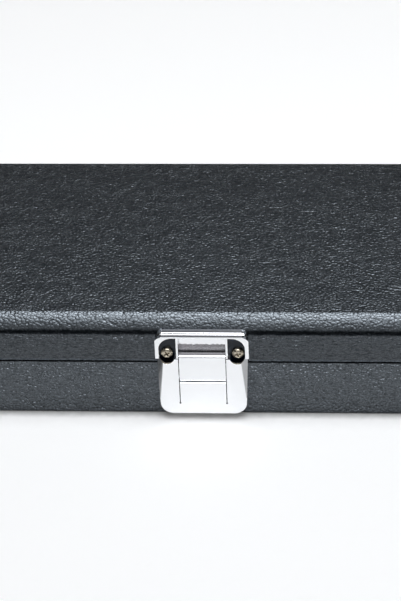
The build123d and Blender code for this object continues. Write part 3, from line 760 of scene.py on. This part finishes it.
def makeHardware():
    s = hardware
    for place in ("left", "middle", "right"):
        for kind, body in (("base", "base"), ("lid", "lid")):
            node = f"{place}_hinge_{kind}_leaf"
            leaf = startCopy(f"{place}Hinge{kind.capitalize()}Leaf", node)
            soften(leaf, s["leafEdge"])
            finishPiece(leaf, body, steel, "steel", node)
    for place in ("left", "right"):
        bracket = startCopy(f"{place}HandleBracket", f"{place}_handle_bracket")
        soften(bracket, s["bracketEdge"])
        finishPiece(bracket, "base", chrome, "chrome", f"{place}_handle_bracket")
    bow = startCopy("handleBow", "handle_bow")
    smooth(bow, s["bowAngle"])
    finishPiece(bow, "handle", handlePlastic, "handle_plastic", "handle_bow")
    strips = startCopy("rimStrips", "rim_strips")
    soften(strips, s["stripEdge"])
    finishPiece(strips, "base", stripPlastic, "strip_plastic", "rim_strips")


makeHardware()
print("hinges, handle and strips made")


padding = {
    "edge": 0.0007, "cut": 0.009, "bend": 60, "dimple": 0.00035, "dimpleSize": 0.014,
    "lean": 0.0015, "gaps": (0.115, 0.185), "endPad": 0.006,
    "lining": 0.0008, "liningBend": 40, "liningRound": 3,
}
unevenness = bpy.data.textures.new("unevenness", "CLOUDS")
unevenness.noise_scale = padding["dimpleSize"]


def pad(name, low, high, shape=None):  # a soft block with rounded edges and an uneven surface
    s = padding
    piece = startBlock(name, low, high)
    if shape:
        shape()
    cutEvenly("X", low[0], high[0], s["cut"])
    if high[1] - low[1] > 2 * s["cut"]:
        cutEvenly("Y", low[1], high[1], s["cut"])
    roundEdges(piece, s["edge"], 3)
    modify(piece, "SUBSURF", levels=1, render_levels=1, boundary_smooth="PRESERVE_CORNERS")
    modify(
        piece, "DISPLACE", texture=unevenness, texture_coords="GLOBAL", strength=s["dimple"],
        mid_level=1.0,
    )
    smooth(piece, s["bend"])
    return piece


def makeRails(name, node, sides):  # three runs of one rail, leaning back from the channels beside it
    s = padding
    low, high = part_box(node)
    inner, outer = s["gaps"]
    runs = []

    def isTop(point, y):
        return point.z > high.z - near and abs(point.y - y) < near

    def leanBack():
        for side in sides:
            edge = high.y if side > 0 else low.y
            pick("VERT", lambda point, normal: isTop(point, edge))
            bpy.ops.transform.translate(value=(0, -side * s["lean"], 0))

    for k, (start, end) in enumerate(((low.x, -outer), (-inner, inner), (outer, high.x))):
        run = pad(f"{name}{k}", (start, low.y, low.z), (end, high.y, high.z), leanBack)
        runs.append(run)
    piece = join(name, runs)
    finishPiece(piece, "base", flock, "flock", node)


def makeCradle():
    makeRails("frontRails", "front_rails", (1,))
    makeRails("shaftDividers", "shaft_dividers", (-1, 1))
    makeRails("buttDividers", "butt_dividers", (-1, 1))
    makeRails("backRails", "back_rails", (-1,))
    low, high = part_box("cradle_ends")
    thick = padding["endPad"]
    ends = [
        pad("cradleEnd0", low, (low.x + thick, high.y, high.z)),
        pad("cradleEnd1", (high.x - thick, low.y, low.z), high),
    ]
    piece = join("cradleEnds", ends)
    finishPiece(piece, "base", flock, "flock", "cradle_ends")
    piece = pad("cradleFloor", *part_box("cradle_floor"))
    finishPiece(piece, "base", plush, "plush_foam", "cradle_floor")


def makeLidSoftness():
    s = padding
    piece = pad("lidPad", *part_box("lid_pad"))
    finishPiece(piece, "lid", plush, "plush_foam", "lid_pad")
    low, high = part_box("lid_linings")
    thick = s["lining"]
    strips = [
        startBlock("lining0", low, (high.x, low.y + thick, high.z)),
        startBlock("lining1", (low.x, high.y - thick, low.z), high),
        startBlock("lining2", (low.x, low.y + thick, low.z), (low.x + thick, high.y - thick, high.z)),
        startBlock("lining3", (high.x - thick, low.y + thick, low.z), (high.x, high.y - thick, high.z)),
    ]
    for strip in strips:
        roundEdges(strip, thick / s["liningRound"], 2)
    piece = join("lidLinings", strips)
    smooth(piece, s["liningBend"])
    finishPiece(piece, "lid", flock, "flock", "lid_linings")


makeCradle()
makeLidSoftness()
print("cradle, pad and linings made")


view = {
    "azimuth": 4.41, "elevation": 36.05, "roll": -2.34, "distance": 0.9,
    "target": (-0.215, -0.055, 0.0533), "pixels": 2427.5, "height": 601, "sensor": 36, "near": 0.01,
}


def turnedBy(angle, axis):
    return Matrix.Rotation(radians(angle), 4, axis)


def placeCamera():
    s = view
    camera = bpy.data.objects.new("camera", bpy.data.cameras.new("camera"))
    bpy.context.scene.collection.objects.link(camera)
    turn = turnedBy(s["azimuth"], "Z") @ turnedBy(90 - s["elevation"], "X")
    place = Vector(s["target"]) + turn @ Vector((0, 0, s["distance"]))
    camera.matrix_world = Matrix.Translation(place) @ turn @ turnedBy(s["roll"], "Z")
    camera.data.sensor_fit = "VERTICAL"
    camera.data.sensor_height = s["sensor"]
    camera.data.lens = s["pixels"] / s["height"] * s["sensor"]
    camera.data.clip_start = s["near"]
    bpy.context.scene.camera = camera


lampLook = {"color": (0.985, 1.0, 1.02), "middle": (-0.129, 0, 0.03)}
lamps = {  # size, elevation from the horizon in front up and over the case, distance, level, diffuse
    "overheadPanel": ((0.85, 0.88), 76, 1.1, 5.7, True),
    "frontPanel": ((1.4, 0.8), 38, 1.5, 2.4, False),
    "creaseStrip": ((1.2, 0.28), 66, 1.0, 4.6, False),
    "backPanel": ((1.2, 0.4), 112, 1.6, 0.4, True),
}


def placeLamps():  # each faces the middle, and only some light the dull surfaces too
    for name, (size, elevation, distance, level, diffuse) in lamps.items():
        lamp = bpy.data.objects.new(name, bpy.data.lights.new(name, "AREA"))
        bpy.context.scene.collection.objects.link(lamp)
        lamp.data.shape = "RECTANGLE"
        lamp.data.size, lamp.data.size_y = size
        lamp.data.energy = level * pi * size[0] * size[1]
        lamp.data.color = lampLook["color"]
        angle = radians(elevation)
        way = Vector((0, -cos(angle), sin(angle)))
        lamp.location = Vector(lampLook["middle"]) + way * distance
        lamp.rotation_euler = (radians(90 - elevation), 0, 0)
        lamp.visible_camera = False
        lamp.visible_diffuse = diffuse


room = {"haze": 0.9, "hazeTop": (0.05, 0.16), "upper": 0.03}


def lightRoom():  # pale haze round the horizon, dim above it
    s = room
    world = bpy.data.worlds.new("room")
    bpy.context.scene.world = world
    f = Finish(world)
    direction = f.node("ShaderNodeTexCoord", {}, {}, "Generated")
    upward = f.node("ShaderNodeSeparateXYZ", {}, {0: direction}, "Z")
    level = f.ramp(upward, *s["hazeTop"], s["haze"], s["upper"])
    background = f.tree.nodes["Background"]
    background.inputs["Color"].default_value = white
    feed(f.tree, background.inputs["Strength"], level)


table = {
    "size": 30.0, "color": (0.82, 0.82, 0.82, 1), "roughness": 0.85, "gloss": 0.2,
    "speckle": 0.004, "speckleRange": (0.97, 1.03),
    # The soft shade round the case's foot: its plan, and tones at distances from it
    "half": (0.405, 0.055, 1.0), "wave": 0.0012,
    "shade": (-0.0008, 0.0042, 0.38, 1.0), "wideShade": (0.0, 0.0126, 0.9, 1.0),
    # The floor's own glow, less of it in front, and the fade to white far from the case
    "lift": 0.33, "liftAlong": (-0.05, 0.05, 0.55, 1.0),
    "oval": (0.7, 1, 1), "fade": (0.42, 0.75),
}


def layFloor():
    s = table
    deselect()
    bpy.ops.mesh.primitive_plane_add(size=s["size"], location=(0, 0, 0))
    floor = bpy.context.object
    floor.name = "floor"
    f = newFinish("floor")
    speckle = f.noise(f.place(), s["speckle"], 3.0)
    # The floor darkens towards the case's foot
    outside = f.vector("SUBTRACT", {0: f.vector("ABSOLUTE", {0: f.place()}), 1: s["half"]})
    outside = f.vector("MAXIMUM", {0: outside, 1: (0, 0, 0)})
    away = f.vector("LENGTH", {0: outside}, 1) + (speckle - 0.5) * s["wave"]
    openness = f.ramp(away, *s["shade"]) * f.ramp(away, *s["wideShade"])
    # What the camera sees, directly or in the chrome, glows a little
    camera, glossy, through = (
        f.node("ShaderNodeLightPath", {}, {}, ray)
        for ray in ("Is Camera Ray", "Is Glossy Ray", "Is Transmission Ray")
    )
    seen = (camera + glossy + through) * openness * f.ramp(f.along("Y"), *s["liftAlong"])
    dark, light = s["speckleRange"]
    pale = f.mix(speckle, shaded(s["color"], dark), shaded(s["color"], light))
    f.surface({
        "Base Color": f.mix(openness, black, pale), "Roughness": s["roughness"],
        "Specular IOR Level": s["gloss"], "Emission Color": f.mix(seen, black, white),
        "Emission Strength": s["lift"],
    })
    # Far from the case the floor fades into plain white
    across = f.vector("LENGTH", {0: f.turned(f.place(), (0, 0, 0), s["oval"])}, 1)
    blank = f.node("ShaderNodeEmission", {}, {}, 0)
    floor.data.materials.append(f.covered(f.ramp(across, *s["fade"]), blank))


cardLook = {
    "near": 0.14, "far": 1.2, "half": 1.5, "under": 0.001, "over": 0.002,
    "color": (0.01, 0.01, 0.01, 1),
}


def layCard():  # a black card on the floor in front, which only shows in reflections
    s = cardLook
    low, high = (-s["half"], -s["far"], s["under"]), (s["half"], -s["near"], s["over"])
    card = startBlock("blackCard", low, high)
    deselect()
    f = newFinish("blackCard")
    look = f.surface({"Base Color": s["color"], "Roughness": 1.0, "Specular IOR Level": 0.0})
    card.data.materials.append(look)
    card.visible_camera = False
    card.visible_diffuse = False
    card.visible_transmission = False
    card.visible_shadow = False


placeCamera()
placeLamps()
lightRoom()
layFloor()
layCard()
bpy.context.scene.view_settings.view_transform = "Standard"
print("camera, light and floor placed")
